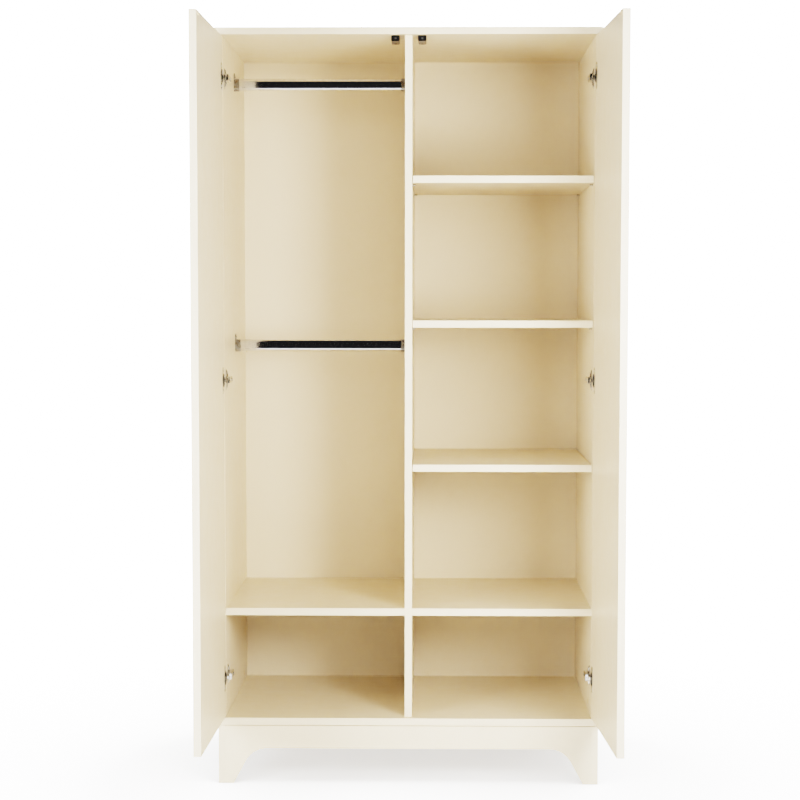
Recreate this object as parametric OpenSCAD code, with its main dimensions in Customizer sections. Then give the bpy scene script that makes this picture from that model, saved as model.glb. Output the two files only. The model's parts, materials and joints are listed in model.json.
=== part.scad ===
// Two-door wardrobe with two hanging rails, a fixed shelf and three adjustable shelves.
// Units are millimetres. X runs to the right, Y from front to back, Z up from the floor.
// Modules are drawn with Y = 0 at the front edges of the side panels. in_frame() then moves
// them so that the origin is on the floor, in the middle of the footprint of the open wardrobe.

/* [Cabinet] */
// Overall width
cabinet_w = 950; // [900:10:1100]
// Overall height above the floor
cabinet_h = 1874; // [1860:1:1900]
// Depth of the side panels
side_d = 580; // [540:10:620]
// Thickness of every board
board = 18; // [18:0.5:19]
// Height of the plinth, floor to bottom panel
plinth_h = 148; // [140:1:160]
// Thickness of the back panel
back_t = 4; // [3:0.5:5]
// Height and depth of the shadow gap round the top of the plinth
seam = [1.5, 4]; // [1:0.5:3]

/* [Doors] */
// How far each door stands open, left and right, in degrees
door_open = [91.1, 92.8]; // [0:0.1:95]
// Gap between a closed door and the side panel
door_gap = 3; // [3:0.5:4]
// Gap above and below each door
door_end_gap = 2; // [1.5:0.5:4]
// Half of the gap between the two closed doors
door_centre_gap = 1.5; // [1:0.5:3]
// How far the door edge is inside the outer face of the side panel
door_side_margin = 1; // [0.5:0.5:2]

/* [Shelves and rails] */
// Underside of the fixed full-width shelf
fixed_shelf_z = 422; // [400:1:440]
// Undersides of the adjustable shelves, lowest first
shelf_z = [783, 1141, 1497]; // [700:1:1600]
// Gap at each end of an adjustable shelf
shelf_end_gap = 1; // [0.5:0.5:2]
// Heights of the centres of the hanging rails, lowest first
rail_z = [1092, 1766]; // [900:1:1780]
// Distance of the rails from the front edge of the side panels
rail_y = 286; // [240:1:320]
// Height and width of the oval rail tube
rail_size = [30, 15]; // [15:1:30]

/* [Plinth arch] */
// Height of the arch above the floor
arch_h = 88.5; // [80:0.5:100]
// Width of a foot on the floor
foot_w = 37.5; // [30:0.5:60]
// Lean of the inner edge of a foot, in degrees from upright
foot_lean = 28.6; // [15:0.1:40]
// Radius between the foot and the arch
arch_r = 60; // [30:1:70]

/* [Hinges] */
// Distance from a door's top or bottom edge to the nearest hinge
hinge_end = 99; // [90:1:130]
// Radius of the hinge cup
cup_r = 17.5; // [17.5:0.5:18]
// Depth of the hinge cup in the door
cup_depth = 13; // [12.5:0.5:14]
// Distance from the door edge to the hinge axis
axis_inset = 7.4; // [7.2:0.1:7.5]
// Distance from the door edge to the rim of the cup
cup_tab = 3; // [3:0.5:3.5]

/* [Latches] */
// Distance of each push latch from the middle of the wardrobe
latch_x = 33; // [25:1:60]
// Width, depth and height of a latch housing
latch_size = [20, 70, 14]; // [10:1:90]

/* [Hidden] */
$fn = 48;

ivory = [0.95, 0.92, 0.82];
ivory_inside = [0.90, 0.86, 0.75];
steel = [0.72, 0.72, 0.70];
chrome = [0.80, 0.80, 0.82];
black_plastic = [0.10, 0.10, 0.10];
beech = [0.80, 0.66, 0.46];
zinc = [0.62, 0.62, 0.62];

side_names = ["left", "right"];
level_names = ["lower", "middle", "upper"];
rail_names = ["lower", "upper"];
shelf_names = ["lower", "middle", "upper"];
board_ends = ["left", "right"];

origin_y = 51;
fit = 0.05;
slip = 0.1;

half_w = cabinet_w / 2;
half_in = half_w - board;
half_board = board / 2;
overhang = board + door_gap;
floor_top = plinth_h + board;
top_z = cabinet_h - board;
fixed_top = fixed_shelf_z + board;
inner_h = top_z - floor_top;

groove_depth = 6;
back_reach = 5.5;
back_y = side_d - 5 - back_t;
shelf_back = back_y - 0.5;

door_w = half_w - door_side_margin - door_centre_gap;
door_z = [floor_top + door_end_gap, top_z - door_end_gap];
axis_x = half_w - door_side_margin - axis_inset;
face_y = half_board;
axis_y = -door_gap - face_y;
door_middle = (door_z[0] + door_z[1]) / 2;
hinge_z = [door_z[0] + hinge_end, door_middle, door_z[1] - hinge_end];

cup_x = cup_tab + cup_r - axis_inset;
cup_wall = 1;
cup_floor = 0.8;
flange_t = 1.5;
flange_r = 18.2;
flange_half = 33;
ear_r = 9;
ear_x = 4;
ear_z = flange_half - ear_r;
pin_r = 1.25;
pin_half = 10;
nose_r = 2.2;
nose_half = 4;

side_x = axis_x - half_in;
side_y = -axis_y;
arm_x = [side_x + 4, side_x + 14];
arm_y = [side_y, side_y + 58];
arm_half = 8;
arm_wall = 1.6;
arm_bar = 2;
arm_reach = arm_x[0] + 4;
plate_y = side_y + 37;
plate_half = 26;
plate_screw_z = 16;
arm_screw_y = side_y + 46;
wood_screw_r = 1.75;
wood_screw_head_r = 3.6;
wood_screw_head_h = 1.4;

latch_z = top_z - latch_size[2] / 2;
latch_y = 1;
plunger_r = 4;
plunger_out = 2;
plunger_len = 37;
plunger_bore = 44;
latch_screw_y = [54, 64];
strike_size = [20, 1.5, 9];

socket_t = 2.5;
socket_len = 14;
socket_r = 9.6;
socket_ear = 30;
socket_screw_z = 21;
rail_wall = 1.2;

shelf_pin_r = 2.5;
shelf_pin_in = 8;
shelf_pin_out = 8;
shelf_pin_y = [50, 520];

dowel_r = 4;
dowel_shallow = 12;
dowel_deep = 18;
dowel_y = [40, 290, 520];
cam_y = [96, 484];
cam_r = 7.5;
cam_depth = 12.7;
cam_recess = 1;
cam_centre = 24;
cam_cap_r = 8.5;
cam_cap_t = 0.8;
bolt_thread = 11;
bolt_thread_r = 2.5;
bolt_r = 3;
bolt_head_gap = 2;

block = 35;
block_h = 55;

// Joints between panels: X, Z, turn that sets the cam's panel along +Z and its face along +X,
// and the shift along the depth that keeps facing joints clear of each other
panel_joints = [
    [-half_w + half_board, top_z, [180, 0, 0], 0],
    [-half_w + half_board, floor_top, [0, 0, 0], 0],
    [half_w - half_board, top_z, [0, 180, 0], 0],
    [half_w - half_board, floor_top, [0, 0, 180], 0],
    [-half_in, fixed_shelf_z + half_board, [0, 90, 0], 0],
    [half_in, fixed_shelf_z + half_board, [0, 90, 180], 0],
    [0, top_z, [180, 0, 0], 0],
    [0, fixed_top, [0, 0, 0], 0],
    [0, fixed_shelf_z, [180, 0, 0], 26],
    [0, floor_top, [0, 0, 0], 0]
];
all_joints = [for (i = [0:len(panel_joints) - 1]) i];

// ---- helpers ----

// Moves a module from the side panels' front edge to the row's origin
module in_frame() {
    translate([0, -origin_y, 0]) children();
}

// A box between two opposite corners
module span(from, to) {
    translate(from) cube(to - from);
}

// A cylinder along +X
module rod_x(r, h) {
    rotate([0, 90, 0]) cylinder(r = r, h = h);
}

// A cylinder along +Y
module rod_y(r, h) {
    rotate([-90, 0, 0]) cylinder(r = r, h = h);
}

// Left side as drawn, right side mirrored
module on_side(s) {
    mirror([s, 0, 0]) children();
}

// Frame of a hinge axis on the carcass: X towards the middle, Y inwards
module axis_frame(s) {
    on_side(s) translate([-axis_x, axis_y, 0]) children();
}

// The same frame turned with the open door
module door_frame(s) {
    axis_frame(s) rotate([0, 0, -door_open[s]]) children();
}

// Frame of a panel joint, repeated at each of the given depths
module at_joints(which, depths) {
    for (i = which) {
        for (y = depths) {
            joint = panel_joints[i];
            translate([joint[0], y + joint[3], joint[1]]) rotate(joint[2]) children();
        }
    }
}

// Holes for the dowels and cam fittings of the given joints
module joint_holes(which) {
    at_joints(which, dowel_y)
        translate([0, 0, -dowel_shallow - 0.2])
            cylinder(r = dowel_r + fit, h = dowel_shallow + dowel_deep + 0.4);
    at_joints(which, cam_y) {
        translate([0, 0, -bolt_thread - 0.2]) cylinder(r = bolt_thread_r + fit, h = bolt_thread + 0.4);
        cylinder(r = bolt_r + 1, h = cam_centre - cam_r + 1);
        translate([half_board - cam_depth - 0.1, 0, cam_centre]) rod_x(cam_r + fit, cam_depth + 1);
    }
}

// ---- boards ----

// A full-width panel that stands forward of the side panels
module end_panel(z, groove_z, joints) {
    color(ivory)
        difference() {
            span([-half_w, -overhang, z], [half_w, side_d, z + board]);
            span([-half_in - groove_depth, back_y - slip, groove_z],
                 [half_in + groove_depth, back_y + back_t + slip, groove_z + groove_depth]);
            joint_holes(joints);
            if (z > floor_top) latch_screw_shanks(fit);
        }
}

module top_panel() {
    end_panel(top_z, top_z, [0, 2, 6]);
}

module bottom_panel() {
    end_panel(plinth_h, floor_top - groove_depth, [1, 3, 9]);
}

module side_panel(s) {
    color(ivory)
        difference() {
            on_side(s) span([-half_w, 0, floor_top], [-half_in, side_d, top_z]);
            on_side(s)
                span([-half_in - groove_depth, back_y - slip, floor_top - 1],
                     [-half_in + 1, back_y + back_t + slip, top_z + 1]);
            joint_holes(s == 0 ? [0, 1, 4] : [2, 3, 5]);
            for (l = [0:2]) hinge_wood_screws(s, l, fit);
            if (s == 0) rail_screw_set(0, fit);
            if (s == 1) shelf_pin_set(1, fit);
        }
}

module back_panel() {
    color(ivory_inside)
        span([-half_in - back_reach, back_y, floor_top - back_reach],
             [half_in + back_reach, back_y + back_t, top_z + back_reach]);
}

module fixed_shelf() {
    color(ivory)
        difference() {
            span([-half_in, 0, fixed_shelf_z], [half_in, shelf_back, fixed_top]);
            joint_holes([4, 5, 7, 8]);
        }
}

module divider(z_low, z_high, joints) {
    difference() {
        span([-half_board, 0, z_low], [half_board, shelf_back, z_high]);
        joint_holes(joints);
    }
}

module upper_divider() {
    color(ivory)
        difference() {
            divider(fixed_top, top_z, [6, 7]);
            rail_screw_set(1, fit);
            shelf_pin_set(0, fit);
        }
}

module lower_divider() {
    color(ivory) divider(floor_top, fixed_shelf_z, [8, 9]);
}

module adjustable_shelf(i) {
    color(ivory)
        span([half_board + shelf_end_gap, 1, shelf_z[i]],
             [half_in - shelf_end_gap, shelf_back - 1, shelf_z[i] + board]);
}

// Pins on the divider (end 0) or on the right side panel (end 1)
module shelf_pin_set(end, gap) {
    wall = end == 0 ? half_board : half_in;
    inward = end == 0 ? 0 : 1;
    for (z = shelf_z) {
        for (y = shelf_pin_y) {
            translate([wall, y, z - shelf_pin_r])
                mirror([inward, 0, 0])
                    translate([-shelf_pin_in - gap, 0, 0])
                        rod_x(shelf_pin_r + gap, shelf_pin_in + shelf_pin_out + gap);
        }
    }
}

module shelf_pins() {
    color(steel) {
        shelf_pin_set(0, 0);
        shelf_pin_set(1, 0);
    }
}

// ---- plinth ----

// Outline of the opening under a plinth board, drawn across its length
module arch_opening(length) {
    rise = 90 - foot_lean;
    corner = length / 2 - foot_w - arch_h * tan(foot_lean);
    tangent = arch_r * tan(rise / 2);
    difference() {
        polygon([
            [-length / 2 + foot_w + tan(foot_lean), -1],
            [length / 2 - foot_w + tan(foot_lean), -1],
            [corner, arch_h],
            [-corner, arch_h],
            [-length / 2 + foot_w - tan(foot_lean), -1]
        ]);
        for (m = [0, 1]) mirror([m, 0]) arch_corner(corner, tangent);
    }
}

// What the rounding leaves in one corner of the opening
module arch_corner(corner, tangent) {
    difference() {
        polygon([
            [corner - tangent, arch_h],
            [corner - tangent, arch_h + 1],
            [corner + 1, arch_h + 1],
            [corner + tangent * sin(foot_lean), arch_h - tangent * cos(foot_lean)],
            [corner - tangent, arch_h - arch_r]
        ]);
        translate([corner - tangent, arch_h - arch_r]) circle(r = arch_r, $fn = 96);
    }
}

// A plinth board standing on the floor, drawn along X from -length / 2
module plinth_board(length, opening_length) {
    rotate([90, 0, 0])
        translate([0, 0, -board])
            linear_extrude(board)
                difference() {
                    translate([-length / 2, 0]) square([length, plinth_h]);
                    arch_opening(opening_length);
                }
}

// Groove that runs round the plinth under the bottom panel
module shadow_gap() {
    half = cabinet_w / 2;
    difference() {
        span([-half - 1, -overhang - 1, plinth_h - seam[0]], [half + 1, side_d + 1, plinth_h + 1]);
        span([seam[1] - half, seam[1] - overhang, plinth_h - seam[0] - 1],
             [half - seam[1], side_d - seam[1], plinth_h + 2]);
    }
}

module plinth_front() {
    color(ivory) difference() {
        translate([0, -overhang, 0]) plinth_board(2 * half_in, cabinet_w);
        shadow_gap();
    }
}

module plinth_rear() {
    color(ivory) difference() {
        translate([0, side_d - board, 0]) plinth_board(2 * half_in, cabinet_w);
        shadow_gap();
    }
}

module plinth_side(s) {
    length = side_d + overhang;
    color(ivory) difference() {
        on_side(s)
            translate([-half_in, (side_d - overhang) / 2, 0])
                rotate([0, 0, 90])
                    plinth_board(length, length);
        shadow_gap();
    }
}

module plinth_blocks() {
    color(beech)
        for (s = [0, 1]) {
            on_side(s) {
                span([-half_in, board - overhang, plinth_h - block_h],
                     [-half_in + block, board - overhang + block, plinth_h]);
                span([-half_in, side_d - board - block, plinth_h - block_h],
                     [-half_in + block, side_d - board, plinth_h]);
            }
        }
}

// ---- panel fittings ----

module panel_dowels() {
    color(beech)
        at_joints(all_joints, dowel_y)
            translate([0, 0, -dowel_shallow]) cylinder(r = dowel_r, h = dowel_shallow + dowel_deep);
}

module cam_discs() {
    color(zinc)
        at_joints(all_joints, cam_y)
            difference() {
                translate([half_board - cam_depth, 0, cam_centre])
                    rod_x(cam_r, cam_depth - cam_recess);
                translate([0, 0, cam_centre - cam_r - 1]) cylinder(r = bolt_r + slip, h = cam_r + 1);
            }
}

module cam_bolts() {
    color(zinc)
        at_joints(all_joints, cam_y) {
            translate([0, 0, -bolt_thread]) cylinder(r = bolt_thread_r, h = bolt_thread);
            cylinder(r = bolt_r, h = cam_centre - bolt_head_gap);
        }
}

module cam_caps() {
    color(ivory)
        at_joints(all_joints, cam_y)
            translate([half_board, 0, cam_centre]) rod_x(cam_cap_r, cam_cap_t);
}

// ---- hanging rails ----

// Oval section along +X, centred on the rail
module oval(r, straight, length) {
    translate([0, 0, -straight / 2]) rod_x(r, length);
    translate([0, 0, straight / 2]) rod_x(r, length);
    translate([0, -r, -straight / 2]) cube([length, 2 * r, straight]);
}

module hanging_rail(i) {
    length = half_in - half_board - 2 * socket_t - 2 * slip;
    straight = rail_size[0] - rail_size[1];
    r = rail_size[1] / 2;
    color(chrome)
        translate([-half_in + socket_t + slip, rail_y, rail_z[i]])
            difference() {
                oval(r, straight, length);
                translate([-1, 0, 0]) oval(r - rail_wall, straight, length + 2);
            }
}

// Frame at a rail's end: X points away from the wall
module at_rail_end(i, end) {
    translate([end == 0 ? -half_in : -half_board, rail_y, rail_z[i]])
        mirror([end, 0, 0])
            children();
}

module rail_socket(i, end) {
    low = -rail_size[0] / 2 + rail_size[1] / 2;
    cavity = rail_size[1] / 2 + slip;
    color(steel)
        at_rail_end(i, end)
            difference() {
                union() {
                    translate([0, 0, socket_ear - socket_r]) rod_x(socket_r, socket_t);
                    translate([0, 0, low]) rod_x(socket_r, socket_len);
                    span([0, -socket_r, low], [socket_t, socket_r, socket_ear - socket_r]);
                    span([0, -socket_r, low], [socket_len, socket_r, -low * 2]);
                }
                translate([socket_t, 0, low]) rod_x(cavity, socket_len);
                span([socket_t, -cavity, low], [socket_len + 1, cavity, socket_ear]);
                rail_end_screws(fit);
            }
}

// The two screws of one socket, or their holes
module rail_end_screws(gap) {
    for (z = [0, socket_screw_z]) {
        translate([-12, 0, z]) rod_x(wood_screw_r + gap, 12 + socket_t + gap);
    }
}

module rail_screw_set(end, gap) {
    for (i = [0, 1]) at_rail_end(i, end) rail_end_screws(gap);
}

module rail_screws() {
    color(steel)
        for (i = [0, 1]) {
            for (end = [0, 1]) {
                at_rail_end(i, end) {
                    rail_end_screws(0);
                    for (z = [0, socket_screw_z]) {
                        translate([socket_t, 0, z]) rod_x(wood_screw_head_r, wood_screw_head_h);
                    }
                }
            }
        }
}

// ---- push latches ----

module latch_screw_shanks(gap) {
    for (x = [-latch_x, latch_x]) {
        for (y = latch_screw_y) {
            translate([x, y, top_z - latch_size[2] + 2])
                cylinder(r = 1.5 + gap, h = latch_size[2] + 8);
        }
    }
}

module latch_housing(s) {
    color(black_plastic)
        difference() {
            on_side(s)
                span([-latch_x - latch_size[0] / 2, latch_y, top_z - latch_size[2]],
                     [-latch_x + latch_size[0] / 2, latch_y + latch_size[1], top_z]);
            on_side(s)
                translate([-latch_x, latch_y - 1, latch_z]) rod_y(plunger_r + fit, plunger_bore + 1);
            latch_screw_shanks(fit);
            for (y = latch_screw_y) {
                on_side(s)
                    translate([-latch_x, y, top_z - latch_size[2] - 1]) cylinder(r = 3.2, h = 3);
            }
        }
}

module latch_plunger(s) {
    color(black_plastic)
        on_side(s)
            translate([-latch_x, latch_y - plunger_out, latch_z]) rod_y(plunger_r, plunger_len);
}

module latch_screws() {
    color(steel) {
        latch_screw_shanks(0);
        for (x = [-latch_x, latch_x]) {
            for (y = latch_screw_y) {
                translate([x, y, top_z - latch_size[2] + 0.5]) cylinder(r = 3, h = 1.5);
            }
        }
    }
}

// ---- doors ----

// A door in its hinge axis's frame
module door(s) {
    color(ivory)
        door_frame(s)
            difference() {
                span([-axis_inset, face_y - board, door_z[0]],
                     [door_w - axis_inset, face_y, door_z[1]]);
                for (z = hinge_z) {
                    at_cup(z) translate([0, 0, -cup_depth - slip]) cylinder(r = cup_r + fit, h = cup_depth + 1);
                    cup_screw_shanks(z, fit);
                }
            }
}

// Frame of a hinge cup: Z out of the door's inner face
module at_cup(z) {
    translate([cup_x, face_y, z]) rotate([-90, 0, 0]) children();
}

module cup_screw_shanks(z, gap) {
    at_cup(z)
        for (y = [-ear_z, ear_z]) {
            translate([ear_x, y, -11 - gap]) cylinder(r = wood_screw_r + gap, h = 11 + flange_t + 2 * gap);
        }
}

module hinge_cup(s, l) {
    color(steel)
        door_frame(s)
            difference() {
                at_cup(hinge_z[l])
                    difference() {
                        union() {
                            translate([0, 0, -cup_depth]) cylinder(r = cup_r, h = cup_depth);
                            cylinder(r = flange_r, h = flange_t);
                            for (y = [-ear_z, ear_z]) {
                                translate([ear_x, y, 0]) cylinder(r = ear_r, h = flange_t);
                            }
                            translate([ear_x - ear_r, -ear_z, 0]) cube([2 * ear_r, 2 * ear_z, flange_t]);
                        }
                        translate([0, 0, -cup_depth + cup_floor])
                            cylinder(r = cup_r - cup_wall, h = cup_depth + flange_t);
                    }
                translate([0, 0, hinge_z[l] - cup_r]) cylinder(r = pin_r + fit, h = 2 * cup_r);
                cup_screw_shanks(hinge_z[l], fit);
            }
}

module hinge_pins(s) {
    color(steel)
        door_frame(s)
            for (z = hinge_z) {
                translate([0, 0, z - pin_half]) cylinder(r = pin_r, h = 2 * pin_half);
            }
}

module cup_screws(s) {
    color(steel)
        door_frame(s)
            for (z = hinge_z) {
                cup_screw_shanks(z, 0);
                at_cup(z)
                    for (y = [-ear_z, ear_z]) {
                        translate([ear_x, y, flange_t]) cylinder(r = 3.3, h = 1.2);
                    }
            }
}

// The arm reaches from the pin, over the rim of the cup, to the mounting plate
module hinge_arm(s, l) {
    half_bar = nose_half - 0.5;
    color(steel)
        axis_frame(s)
            translate([0, 0, hinge_z[l]])
                difference() {
                    union() {
                        translate([0, 0, -nose_half]) cylinder(r = nose_r, h = 2 * nose_half);
                        span([0, -arm_bar / 2, -half_bar], [arm_reach, arm_bar / 2, half_bar]);
                        span([arm_reach - arm_bar, -arm_bar / 2, -half_bar],
                             [arm_reach, arm_y[0] + 1, half_bar]);
                        span([arm_x[0], arm_y[0], -arm_half], [arm_x[1], arm_y[1], arm_half]);
                    }
                    translate([0, 0, -nose_half - 1]) cylinder(r = pin_r + fit, h = 2 * nose_half + 2);
                    span([arm_x[0] - 1, arm_y[0] + 2.5, -arm_half + arm_wall],
                         [arm_x[1] - arm_wall, arm_y[1] + 1, arm_half - arm_wall]);
                    translate([arm_x[0], arm_screw_y, 0]) rod_x(2.6, 12);
                }
}

// Screws in the wings of a mounting plate, or their holes
module hinge_wood_screws(s, l, gap) {
    axis_frame(s)
        for (z = [-plate_screw_z, plate_screw_z]) {
            translate([side_x - 12 - gap, plate_y, hinge_z[l] + z])
                rod_x(wood_screw_r + gap, 12 + 3 + 2 * gap);
        }
}

module hinge_plate(s, l) {
    color(steel)
        difference() {
            axis_frame(s)
                translate([side_x, plate_y, hinge_z[l]])
                    difference() {
                        union() {
                            span([0, -19, -arm_half], [4, 17, arm_half]);
                            span([0, -6, -plate_half + 6], [3, 6, plate_half - 6]);
                            for (z = [-plate_half + 6, plate_half - 6]) {
                                translate([0, 0, z]) rod_x(6, 3);
                            }
                            span([4, -13, -arm_half + arm_wall + slip], [10, 15, arm_half - arm_wall - slip]);
                        }
                        translate([3, arm_screw_y - plate_y, 0]) rod_x(2.5 + fit, 8);
                    }
            hinge_wood_screws(s, l, fit);
        }
}

module hinge_mounting_screws() {
    color(steel)
        for (s = [0, 1]) {
            for (l = [0:2]) {
                hinge_wood_screws(s, l, 0);
                axis_frame(s)
                    translate([side_x, 0, hinge_z[l]]) {
                        for (z = [-plate_screw_z, plate_screw_z]) {
                            translate([3, plate_y, z]) rod_x(3.3, wood_screw_head_h);
                        }
                        translate([3.5, arm_screw_y, 0]) rod_x(2.5, 10.5);
                        translate([14, arm_screw_y, 0]) rod_x(4, 1.5);
                    }
            }
        }
}

module strike_plate(s) {
    color(steel)
        door_frame(s)
            translate([axis_x - latch_x - strike_size[0] / 2, face_y, latch_z - strike_size[2] / 2])
                cube(strike_size);
}

// ---- nodes ----

in_frame() top_panel();
in_frame() bottom_panel();
in_frame() back_panel();
in_frame() fixed_shelf();
in_frame() upper_divider();
in_frame() lower_divider();
in_frame() shelf_pins();
in_frame() plinth_front();
in_frame() plinth_rear();
in_frame() plinth_blocks();
in_frame() rail_screws();
in_frame() panel_dowels();
in_frame() cam_discs();
in_frame() cam_bolts();
in_frame() cam_caps();
in_frame() latch_screws();
in_frame() hinge_mounting_screws();
for (i = [0:2]) {
    in_frame() adjustable_shelf(i);
}
for (i = [0, 1]) {
    in_frame() hanging_rail(i);
}
for (s = [0, 1]) {
    side = side_names[s];
    in_frame() side_panel(s);
    in_frame() plinth_side(s);
    in_frame() latch_housing(s);
    in_frame() latch_plunger(s);
    in_frame() door(s);
    in_frame() strike_plate(s);
    in_frame() hinge_pins(s);
    in_frame() cup_screws(s);
    for (i = [0, 1]) {
        in_frame() rail_socket(i, s);
    }
    for (l = [0:2]) {
        hinge = str(side, "_", level_names[l], "_hinge");
        in_frame() hinge_cup(s, l);
        in_frame() hinge_arm(s, l);
        in_frame() hinge_plate(s, l);
    }
}
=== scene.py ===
"""Two-door wardrobe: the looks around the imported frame, in metres and in the row's own axes.

Shapes are drawn in millimetres as closed polygon meshes and scaled once, when they become
a Blender object. Hardware on a door is drawn in the frame of that door's hinge axis, with X
to the middle of the cabinet and Y inwards as on a closed door, then turned to the rest angle.
"""

import json
import math

import bmesh
import bpy
from mathutils import Matrix, Vector


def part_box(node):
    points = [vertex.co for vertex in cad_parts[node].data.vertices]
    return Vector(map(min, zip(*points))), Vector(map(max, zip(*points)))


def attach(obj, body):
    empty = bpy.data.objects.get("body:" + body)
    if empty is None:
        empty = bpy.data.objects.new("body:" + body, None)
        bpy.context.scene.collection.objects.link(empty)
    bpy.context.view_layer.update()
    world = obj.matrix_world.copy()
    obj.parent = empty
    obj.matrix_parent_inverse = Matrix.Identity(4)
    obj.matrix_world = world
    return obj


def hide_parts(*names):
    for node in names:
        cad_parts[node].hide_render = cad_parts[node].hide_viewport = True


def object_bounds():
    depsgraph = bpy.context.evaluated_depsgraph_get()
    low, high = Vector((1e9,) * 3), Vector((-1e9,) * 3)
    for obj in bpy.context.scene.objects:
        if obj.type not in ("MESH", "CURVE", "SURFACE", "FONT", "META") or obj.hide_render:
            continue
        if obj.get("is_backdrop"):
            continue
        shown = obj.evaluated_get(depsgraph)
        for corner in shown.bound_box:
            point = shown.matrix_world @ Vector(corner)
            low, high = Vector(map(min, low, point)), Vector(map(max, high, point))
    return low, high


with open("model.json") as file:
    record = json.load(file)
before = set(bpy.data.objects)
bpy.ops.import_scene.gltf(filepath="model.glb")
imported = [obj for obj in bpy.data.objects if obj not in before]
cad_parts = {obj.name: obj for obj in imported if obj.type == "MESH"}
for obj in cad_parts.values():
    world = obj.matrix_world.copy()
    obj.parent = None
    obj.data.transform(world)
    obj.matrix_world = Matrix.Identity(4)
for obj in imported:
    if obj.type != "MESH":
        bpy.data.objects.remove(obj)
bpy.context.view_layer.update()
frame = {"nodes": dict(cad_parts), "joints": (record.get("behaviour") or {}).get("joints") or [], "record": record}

MM = 0.001
SIDES = ("left", "right")
RAILS = ("lower", "upper")
LEVELS = ("lower", "middle", "upper")
NODES = frame["nodes"]
NODE_SLOTS = {p["node"]: p["material_slot"] for p in frame["record"]["subparts"]}
JOINTS = {j["name"]: j for j in frame["joints"]}
COLLECTION = bpy.context.scene.collection

# Corners closer than this are one corner, in metres: in a drawn piece, and in a CAD node
PIECE_WELD, NODE_WELD = 1e-7, 1e-6
# Edges sharper than these, in degrees, are shaded as edges, or rounded on a board
CREASE_ANGLE, BOARD_EDGE_ANGLE = 38, 50


# ---- polygon solids, in millimetres ----


class Solid:
    """One or more closed shells."""

    def __init__(self, verts=(), faces=()):
        self.verts = [Vector(v) for v in verts]
        self.faces = [tuple(f) for f in faces]

    def __add__(self, other):
        shift = len(self.verts)
        faces = [tuple(i + shift for i in f) for f in other.faces]
        return Solid(self.verts + other.verts, self.faces + faces)

    def at(self, matrix):
        flip = matrix.determinant() < 0
        faces = [f[::-1] for f in self.faces] if flip else self.faces
        return Solid([matrix @ v for v in self.verts], faces)

    def moved(self, x=0, y=0, z=0):
        return self.at(Matrix.Translation((x, y, z)))

    def turned(self, degrees, axis):
        return self.at(rotation(degrees, axis))


def rotation(degrees, axis):
    return Matrix.Rotation(math.radians(degrees), 4, axis)


def loft(rings, caps=True):
    """Skin over rings of equally many points, each ring anticlockwise seen from the last one."""
    n = len(rings[0])
    verts = [v for ring in rings for v in ring]
    faces = []
    for k in range(len(rings) - 1):
        low, high = k * n, (k + 1) * n
        for i in range(n):
            j = (i + 1) % n
            faces.append((low + i, low + j, high + j, high + i))
    if caps:
        faces.append(tuple(range(n))[::-1])
        faces.append(tuple(range((len(rings) - 1) * n, len(rings) * n)))
    return Solid(verts, faces)


def prism(outline, low, high):
    """An anticlockwise outline in X and Y, pulled along Z."""
    return loft([[(x, y, z) for x, y in outline] for z in (low, high)])


def circle(r, z, steps):
    angles = [2 * math.pi * i / steps for i in range(steps)]
    return [(r * math.cos(a), r * math.sin(a), z) for a in angles]


def lathe(profile, steps=32):
    """A profile of (radius, z) from its lowest point, beside the axis, to its highest one."""
    return loft([circle(r, z, steps) for r, z in profile])


def cylinder(r, low, high, steps=32):
    return lathe([(r, low), (r, high)], steps)


def block(low, high):
    outline = [(low[0], low[1]), (high[0], low[1]), (high[0], high[1]), (low[0], high[1])]
    return prism(outline, low[2], high[2])


def rectangle(half_x, half_y, z):
    """Corners of a rectangle round the Z axis."""
    corners = ((-half_x, -half_y), (half_x, -half_y), (half_x, half_y), (-half_x, half_y))
    return [(x, y, z) for x, y in corners]


def arc(centre, r, start, end, steps):
    """Points on an arc, in degrees, both ends included."""
    points = []
    for i in range(steps + 1):
        a = math.radians(start + (end - start) * i / steps)
        points.append((centre[0] + r * math.cos(a), centre[1] + r * math.sin(a)))
    return points


def rounded(low, high, radii, steps=6):
    """Rectangle with its own radius at each corner: low left, low right, high right, high left."""
    (x0, y0), (x1, y1) = low, high
    corners = [(x0, y0, 180), (x1, y0, 270), (x1, y1, 0), (x0, y1, 90)]
    points = []
    for (x, y, start), r in zip(corners, radii):
        if r <= 0:
            points.append((x, y))
            continue
        cx = x + r if x == x0 else x - r
        cy = y + r if y == y0 else y - r
        points += arc((cx, cy), r, start, start + 90, steps)
    return points


def stadium(half_width, low, high, steps=12):
    """Long shape along Y with round ends."""
    r = half_width
    return arc((0, high - r), r, 0, 180, steps) + arc((0, low + r), r, 180, 360, steps)


def shifted(outline, x=0, y=0):
    return [(px + x, py + y) for px, py in outline]


def axes(x, y, z, at=(0, 0, 0)):
    """The frame whose own X, Y and Z point along these directions, with its origin at a point."""
    rows = [(x[i], y[i], z[i], at[i]) for i in range(3)]
    return Matrix((*rows, (0, 0, 0, 1)))


X, Y, Z = (1, 0, 0), (0, 1, 0), (0, 0, 1)
MINUS_Y = (0, -1, 0)

# Outlines stood up so that they are pulled along X, or along -Y
ALONG_X = axes(Y, Z, X)
ALONG_Y = axes(X, Z, MINUS_Y)

TO_X = rotation(90, "Y")  # +Z to +X
TO_MINUS_X = rotation(-90, "Y")  # +Z to -X
TO_Y = rotation(-90, "X")  # +Z to +Y
TO_MINUS_Z = rotation(180, "X")  # +Z to -Z


def facing(inward):
    return TO_X if inward > 0 else TO_MINUS_X


def place(point):
    return Matrix.Translation(point)


def mirrored(x=1, y=1):
    return Matrix.Diagonal((x, y, 1, 1))


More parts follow.
